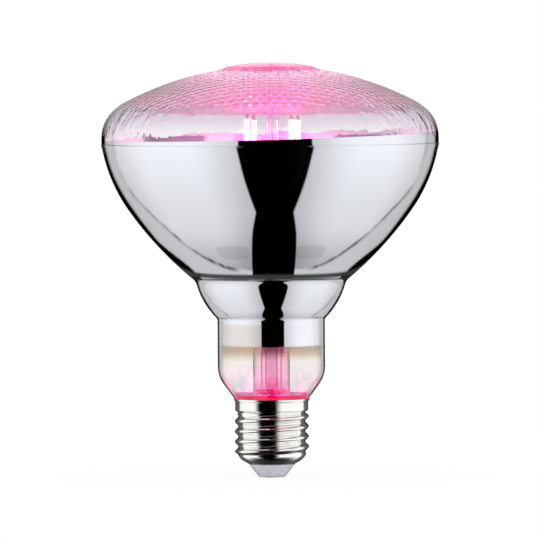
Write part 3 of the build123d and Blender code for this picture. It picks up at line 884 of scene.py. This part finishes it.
def filament_finish():
    """Glowing pink coat, redder at both ends."""
    deep_glow = (1.0, 0.09, 0.40, 1.0)
    pale_glow = (1.0, 0.12, 0.46, 1.0)
    end_glow = (1.0, 0.09, 0.06, 1.0)
    glow_strength = 25.0
    tip_heights = (127.4, 128.6)
    foot_heights = (83.5, 82.0)
    made, nodes = material("glowing phosphor coat")
    x, y, z = nodes.place()
    tip = z.ramp(*tip_heights)
    foot = z.ramp(*foot_heights)
    grain = nodes.noise(nodes.spot(x, y, z), 1.6)
    body = nodes.mix(grain.ramp(0.3, 0.7), deep_glow, pale_glow)
    glow = nodes.mix(tip.most(foot), body, end_glow)
    shader = nodes.shine(
        Base_Color=nodes.mix(grain, rgb(250, 150, 180), rgb(255, 190, 210)),
        Roughness=0.5,
        Emission_Color=glow,
        Emission_Strength=glow_strength,
    )
    nodes.finish(shader)
    return made


# Studio
def mirror_room(nodes, dx, dy, dz):
    """Light that the mirror and the glass reflect, by the lean of the surface that shows it.

    Two tall panels stand beside the viewer with a dark gap between them. A thin dark frame
    runs round each panel, and the floor under the lamp is dark.
    """
    gap_shift = 0.03
    frame_side = 0.93
    frame_low = 0.755
    floor_start = 0.761
    floor_full = 0.768
    floor_light = 0.045
    beyond_frame = 0.62
    patch_side = 0.355
    patch_low = 0.702

    # Lean of the surface: tilt is how far it faces down, side how far it faces sideways
    reach = ((1 - dy) * 2).most(0.0001).math("SQRT")
    tilt = dz * -1 / reach
    level_share = (1 - tilt * tilt).most(0.0001).math("SQRT")
    side = dx / reach / level_share
    spread = abs(side)
    low = tilt.most(0.0)

    # The gap widens towards the heel of the lamp
    half_gap = tilt.ramp(0.03, 0.12, 0.222, 0.237) - tilt * tilt * 0.3
    half_gap = half_gap.most(tilt * tilt.ramp(0.56, 0.66, 0.18, 0.21) / level_share)
    beyond = abs(side - gap_shift) - half_gap
    level = tilt.ramp(0.1, 0.7, 0.99, 0.78) * tilt.ramp(0.62, 0.75, 1.0, 0.66)
    panel = level * beyond.ramp(-0.15, 0.33, 0.55, 1.0) * spread.ramp(0.72, 0.95, 1.0, 0.78)

    # The frame of the panels is a rounded oblong with a broken line along it
    wobble = nodes.noise(nodes.spot(dx, dy, dz), 9.0)
    frame_line = (spread / frame_side).math("POWER", 4.0) + (low / frame_low).math("POWER", 5.0)
    frame_line = frame_line + wobble.ramp(0.2, 0.8, -0.03, 0.03)
    inside = frame_line.ramp(0.97, 1.0, 1.0, 0.0)
    line = frame_line.ramp(0.95, 1.0) * frame_line.ramp(1.0, 1.08, 1.0, 0.0)
    broken = wobble.ramp(0.42, 0.52, 0.35, 1.0) * beyond.ramp(0.1, 0.25)
    line = line * tilt.ramp(0.3, 0.7, 0.25, 0.9) * broken

    # A dim oblong patch lies low in each panel
    patch_x = ((spread - patch_side) / 0.15).math("POWER", 4.0)
    patch_y = ((tilt - patch_low) / 0.02).math("POWER", 4.0)
    patch = (patch_x + patch_y).ramp(0.6, 1.1, 0.16, 0.0)
    lit = (panel * inside * (1 - patch) + (1 - inside) * beyond_frame) * (1 - line)

    # The outermost ring of the lamp mirrors the dark behind the panels
    ring_edge = tilt.ramp(0.3, 0.7, 0.978, 0.957) - tilt.ramp(0.68, 0.76, 0.0, 0.08)
    ring = (spread - ring_edge).ramp(-0.008, 0.006) * tilt.ramp(-0.6, -0.1, 0.3, 1.0)
    lit = lit * beyond.ramp(-0.006, 0.006) * (1 - ring)
    under = tilt.ramp(floor_start, floor_full)
    return lit * (1 - under) + under * floor_light


def strip_lights(dx, dy, dz):
    """Light that the cap mirrors: a wide strip light at its left and a narrower one at its right."""
    brightness = 1.2
    front = (dy * -1).most(0.0)
    steep = abs(dz)
    left_light = (dx * -1 - front * 1.19).ramp(-0.3, 0.25)
    right_light = (dx - front * 0.4).ramp(-0.22, 0.22)
    strips = left_light.most(right_light) * dy.ramp(0.42, 0.62, 1.0, 0.12) * dy.ramp(0.84, 0.93, 1.0, 0.2)
    strips = strips * steep.ramp(0.45, 0.88, 1.0, 0.15) * dz.ramp(-0.95, -0.7, 0.1, 1.0)
    return strips.most(dz.ramp(0.3, 0.9, 0.0, 0.16)) * brightness


def make_world():
    """Lights the lamp evenly from all round, with a room of its own for each kind of mirror.

    The cap's rolled sheet is dull enough to mirror softly, and it stands between two strip
    lights. Glass that is only looked through shows a white backdrop behind it.
    """
    world = bpy.data.worlds.new("studio")
    bpy.context.scene.world = world
    world.use_nodes = True
    nodes = Nodes(world.node_tree)
    heading = nodes.add("ShaderNodeTexCoord", output="Generated")
    split = nodes.add("ShaderNodeSeparateXYZ", None, {0: heading})
    outputs = split.socket.node.outputs
    dx, dy, dz = (Field(nodes, outputs[axis]) for axis in range(3))
    room = mirror_room(nodes, dx, dy, dz)
    strips = strip_lights(dx, dy, dz)
    backdrop = dy.ramp(-0.1, 0.5, 0.3, 1.0)

    rays = nodes.add("ShaderNodeLightPath").socket.node.outputs
    soft_mirror = Field(nodes, rays["Is Glossy Ray"]) * (1 - Field(nodes, rays["Is Singular Ray"]))
    mirrored = Field(nodes, rays["Glossy Depth"]).math("GREATER_THAN", 0.5)
    plain = Field(nodes, rays["Is Camera Ray"]).most(Field(nodes, rays["Is Diffuse Ray"]))
    through = room * mirrored + backdrop * (1 - mirrored)
    seen = (through * (1 - soft_mirror) + strips * soft_mirror).most(plain)
    background = nodes.add("ShaderNodeBackground", None, {"Color": seen, "Strength": 1.0})
    nodes.finish(background, "ShaderNodeOutputWorld")


def make_floor():
    """A plain white floor that keeps the lamp's shadow and fades into the background.

    The mirror doesn't show it, because the room that the world holds has a floor of its own.
    """
    floor_radius = 1.4
    paper_white = (0.95, 0.95, 0.95, 1.0)
    deselect()
    bpy.ops.mesh.primitive_circle_add(vertices=96, radius=floor_radius, fill_type="NGON")
    floor = bpy.context.active_object
    floor.name = "floor"
    made, nodes = material("floor paper")
    x, y, z = nodes.place()
    level = nodes.spot(x, y, 0.0)
    far = nodes.add("ShaderNodeVectorMath", {"operation": "LENGTH"}, {0: level}, output="Value")
    share = far.ramp(20.0, 120.0, 0.93, 1.0)
    paper = nodes.add("ShaderNodeBsdfDiffuse", None, {"Color": paper_white})
    bright = nodes.add("ShaderNodeEmission", None, {"Color": white, "Strength": 1.0})
    clear = nodes.add("ShaderNodeBsdfTransparent", None, {"Color": white})
    seen = nodes.add("ShaderNodeMixShader", None, {0: share, 1: paper, 2: bright})
    rays = nodes.add("ShaderNodeLightPath").socket.node.outputs
    mirrored = Field(nodes, rays["Glossy Depth"]).math("GREATER_THAN", 0.5)
    diffuse_ray = Field(nodes, rays["Is Diffuse Ray"])
    other = nodes.add("ShaderNodeMixShader", None, {0: diffuse_ray, 1: seen, 2: paper})
    surface = nodes.add("ShaderNodeMixShader", None, {0: mirrored, 1: other, 2: clear})
    nodes.finish(surface)
    floor.data.materials.append(made)


def make_camera():
    """A long lens in front of the lamp, a little above it. Distances are in metres."""
    distance = 3.1
    eye_height = 0.178
    aim_height = 0.0739
    roll_degrees = 0.35
    data = bpy.data.cameras.new("camera")
    camera = bpy.data.objects.new("camera", data)
    bpy.context.scene.collection.objects.link(camera)
    bpy.context.scene.camera = camera
    data.sensor_width = 36.0
    data.lens = 580.6
    data.shift_x = 0.0017
    data.clip_start = 0.1
    data.clip_end = 50.0
    camera.location = (0.0, -distance, eye_height)
    down = math.atan2(eye_height - aim_height, distance)
    camera.rotation_euler = (math.pi / 2 - down, math.radians(roll_degrees), 0.0)


def dress_nodes(finishes):
    """Gives every carried-over node the finish of its slot."""
    slots = {part["node"]: part["material_slot"] for part in frame["record"]["subparts"]}
    for name, node in frame["nodes"].items():
        finish = finishes.get(slots[name])
        if finish is not None:
            node.data.materials.clear()
            node.data.materials.append(finish)


glass = glass_finish()
film = film_finish()
nickel = cap_finish()
finishes = {
    "clear_glass": glass,
    "mirror_film": film,
    "cap_sheet": nickel,
    "insulator": plain_finish("pale moulding", rgb(220, 221, 230), rgb(229, 230, 238), 0.3, coat=0.3),
    "contact_metal": plain_finish("tinned contact", rgb(150, 150, 152), rgb(172, 172, 174), 0.35, 1.0),
    "cement": plain_finish("baked cement", rgb(196, 190, 176), rgb(214, 209, 196), 0.9, relief=0.4),
    "stem_glass": stem_finish(),
    "filament_coat": filament_finish(),
    "strip_metal": plain_finish("stamped strip", rgb(170, 160, 150), rgb(205, 198, 188), 0.3, 1.0),
    "wire_metal": wire_finish(),
    "board": plain_finish("board laminate", rgb(216, 218, 210), rgb(228, 229, 222), 0.5),
    "capacitor_sleeve": plain_finish("capacitor sleeve", rgb(24, 24, 28), rgb(38, 38, 44), 0.3),
    "resistor_coat": plain_finish("resistor lacquer", rgb(66, 112, 92), rgb(84, 132, 110), 0.35),
    "chip_body": plain_finish("moulded chip", rgb(22, 22, 24), rgb(34, 34, 36), 0.55),
    "wire_sleeve": plain_finish("wire sleeve", rgb(214, 212, 206), rgb(226, 224, 218), 0.45),
}
dress_nodes(finishes)
make_glass(glass)
make_film(film)
make_cap(nickel)
make_floor()
make_world()
make_camera()

scene = bpy.context.scene
scene.view_settings.view_transform = "Standard"
